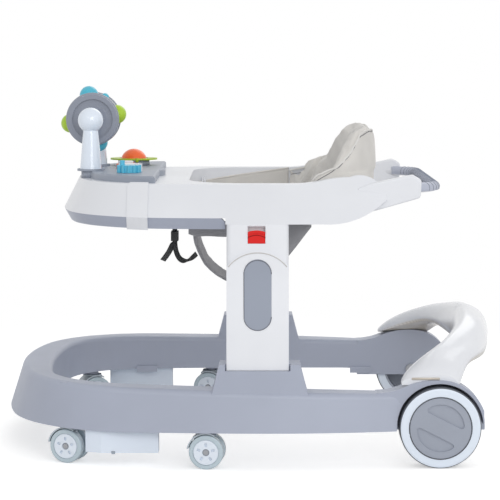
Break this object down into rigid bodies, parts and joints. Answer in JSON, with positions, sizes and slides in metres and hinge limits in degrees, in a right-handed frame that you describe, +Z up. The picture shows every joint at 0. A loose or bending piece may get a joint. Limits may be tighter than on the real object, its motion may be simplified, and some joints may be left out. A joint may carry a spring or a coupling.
{
  "type": "baby walker",
  "caption": "Baby walker: horseshoe base on swivel casters and rear wheels, side columns carrying a height-adjustable toy tray, padded sling seat, rear bow and push handle.",
  "frame": {"origin": "on the floor under the middle of the walker's bounding box", "axes": "+X towards the rear, +Y towards the child's right, +Z up"},
  "size_m": [0.718, 0.582, 0.5228],
  "materials": {
    "base_grey": "fine moulded grain, satin",
    "white_plastic": "smooth moulded",
    "pale_blue": "smooth moulded",
    "hub_grey": "satin",
    "caster_tread": "milky, slightly translucent",
    "caster_housing": "satin",
    "steel": "plain",
    "strip_rubber": "matt",
    "seat_fabric": "padded woven cloth",
    "sling_fabric": "woven cloth",
    "webbing": "ribbed webbing",
    "black_plastic": "satin",
    "red_plastic": "smooth moulded",
    "cyan_plastic": "smooth moulded",
    "orange_plastic": "smooth moulded",
    "leaf_green": "smooth moulded",
    "knob_blue": "smooth moulded",
    "knob_green": "smooth moulded",
    "disc_grey": "smooth moulded"
  },
  "bodies": {
    "base": {"base_ring": "base_grey", "rail_clips": "base_grey", "rear_bow": "white_plastic", "brake_box_left": "pale_blue", "brake_strip_left": "strip_rubber", "column_shell_left": "white_plastic", "column_inset_left": "base_grey", "rear_axle_left": "steel", "latch_spring_left": "steel", "brake_box_right": "pale_blue", "brake_strip_right": "strip_rubber", "column_shell_right": "white_plastic", "column_inset_right": "base_grey", "rear_axle_right": "steel", "latch_spring_right": "steel"},
    "tray": {"tray": "white_plastic", "under_band": "base_grey", "push_handle": "white_plastic", "handle_grip": "hub_grey", "toy_panel": "base_grey", "squeaker_cup": "orange_plastic", "leaf_plate": "leaf_green", "seat_back": "seat_fabric", "seat_liner": "seat_fabric", "seat_sling": "sling_fabric", "crotch_strap": "webbing", "strap_buckle": "black_plastic", "mast_left": "white_plastic", "joint_strap_left": "white_plastic", "spinner_post_left": "pale_blue", "mast_right": "white_plastic", "joint_strap_right": "white_plastic", "spinner_post_right": "pale_blue"},
    "spinner": {"spinner_axle": "white_plastic", "spinner_disc_left": "disc_grey", "spinner_disc_right": "disc_grey", "spinner_knobs_blue": "knob_blue", "spinner_knobs_green": "knob_green"},
    "peg_gear": {"peg_gear": "cyan_plastic"},
    "idler_gear": {"idler_gear": "white_plastic"},
    "squeaker_cap": {"squeaker_cap": "white_plastic"},
    "roller_ball": {"roller_ball": "orange_plastic"},
    "latch_left": {"latch_slider_left": "red_plastic"},
    "rear_wheel_left": {"rear_tyre_left": "pale_blue", "rear_hub_left": "hub_grey"},
    "latch_right": {"latch_slider_right": "red_plastic"},
    "rear_wheel_right": {"rear_tyre_right": "pale_blue", "rear_hub_right": "hub_grey"},
    "caster_front_left_swivel": {"caster_front_left_hood": "caster_housing"},
    "caster_front_left_wheels": {"caster_front_left_wheels": "caster_tread", "caster_front_left_axle": "steel"},
    "caster_front_right_swivel": {"caster_front_right_hood": "caster_housing"},
    "caster_front_right_wheels": {"caster_front_right_wheels": "caster_tread", "caster_front_right_axle": "steel"},
    "caster_mid_left_swivel": {"caster_mid_left_hood": "caster_housing"},
    "caster_mid_left_wheels": {"caster_mid_left_wheels": "caster_tread", "caster_mid_left_axle": "steel"},
    "caster_mid_right_swivel": {"caster_mid_right_hood": "caster_housing"},
    "caster_mid_right_wheels": {"caster_mid_right_wheels": "caster_tread", "caster_mid_right_axle": "steel"}
  },
  "joints": [
    {"name": "tray_height", "type": "slide", "parent": "base", "child": "tray", "axis": [0, 0, 1], "range_m": [0, 0.04]},
    {"name": "latch_left_slide", "type": "slide", "parent": "base", "child": "latch_left", "axis": [0, 0.1044, 0.9945], "range_m": [0, 0.006], "stiffness_N_per_m": 300, "springref_m": -0.003, "deforming": ["latch_spring_left"]},
    {"name": "rear_wheel_left_spin", "type": "hinge", "parent": "base", "child": "rear_wheel_left", "pos_m": [0.2635, -0.2595, 0.0567], "axis": [0, 1, 0], "continuous": true},
    {"name": "latch_right_slide", "type": "slide", "parent": "base", "child": "latch_right", "axis": [0, -0.1044, 0.9945], "range_m": [0, 0.006], "stiffness_N_per_m": 300, "springref_m": -0.003, "deforming": ["latch_spring_right"]},
    {"name": "rear_wheel_right_spin", "type": "hinge", "parent": "base", "child": "rear_wheel_right", "pos_m": [0.2635, 0.2595, 0.0567], "axis": [0, 1, 0], "continuous": true},
    {"name": "caster_front_left_turn", "type": "hinge", "parent": "base", "child": "caster_front_left_swivel", "pos_m": [-0.257, -0.221, 0.052], "axis": [0, 0, 1], "continuous": true},
    {"name": "caster_front_left_roll", "type": "hinge", "parent": "caster_front_left_swivel", "child": "caster_front_left_wheels", "pos_m": [-0.25324, -0.22237, 0.024], "axis": [0.342, 0.9397, 0], "continuous": true},
    {"name": "caster_front_right_turn", "type": "hinge", "parent": "base", "child": "caster_front_right_swivel", "pos_m": [-0.257, 0.221, 0.052], "axis": [0, 0, 1], "continuous": true},
    {"name": "caster_front_right_roll", "type": "hinge", "parent": "caster_front_right_swivel", "child": "caster_front_right_wheels", "pos_m": [-0.25324, 0.22237, 0.024], "axis": [-0.342, 0.9397, 0], "continuous": true},
    {"name": "caster_mid_left_turn", "type": "hinge", "parent": "base", "child": "caster_mid_left_swivel", "pos_m": [-0.063, -0.266, 0.052], "axis": [0, 0, 1], "continuous": true},
    {"name": "caster_mid_left_roll", "type": "hinge", "parent": "caster_mid_left_swivel", "child": "caster_mid_left_wheels", "pos_m": [-0.05903, -0.26649, 0.024], "axis": [0.1219, 0.9925, 0], "continuous": true},
    {"name": "caster_mid_right_turn", "type": "hinge", "parent": "base", "child": "caster_mid_right_swivel", "pos_m": [-0.063, 0.266, 0.052], "axis": [0, 0, 1], "continuous": true},
    {"name": "caster_mid_right_roll", "type": "hinge", "parent": "caster_mid_right_swivel", "child": "caster_mid_right_wheels", "pos_m": [-0.06696, 0.26656, 0.024], "axis": [-0.1392, -0.9903, 0], "continuous": true},
    {"name": "spinner_turn", "type": "hinge", "parent": "tray", "child": "spinner", "pos_m": [-0.234, 0, 0.474], "axis": [0, 1, 0], "continuous": true},
    {"name": "peg_gear_turn", "type": "hinge", "parent": "tray", "child": "peg_gear", "pos_m": [-0.175, -0.108, 0.405], "axis": [0, 0, 1], "continuous": true},
    {"name": "idler_gear_turn", "type": "hinge", "parent": "tray", "child": "idler_gear", "pos_m": [-0.175, -0.075, 0.405], "axis": [0, 0, 1], "continuous": true},
    {"name": "squeaker_press", "type": "slide", "parent": "tray", "child": "squeaker_cap", "axis": [0, 0, -1], "range_m": [0, 0.003], "stiffness_N_per_m": 400, "springref_m": -0.002},
    {"name": "roller_ball_turn", "type": "hinge", "parent": "tray", "child": "roller_ball", "pos_m": [-0.179, 0.082, 0.4045], "axis": [0, 1, 0], "continuous": true}
  ],
  "couplings": [
    {"joint": "idler_gear_turn", "follows": "peg_gear_turn", "ratio": -1}
  ]
}
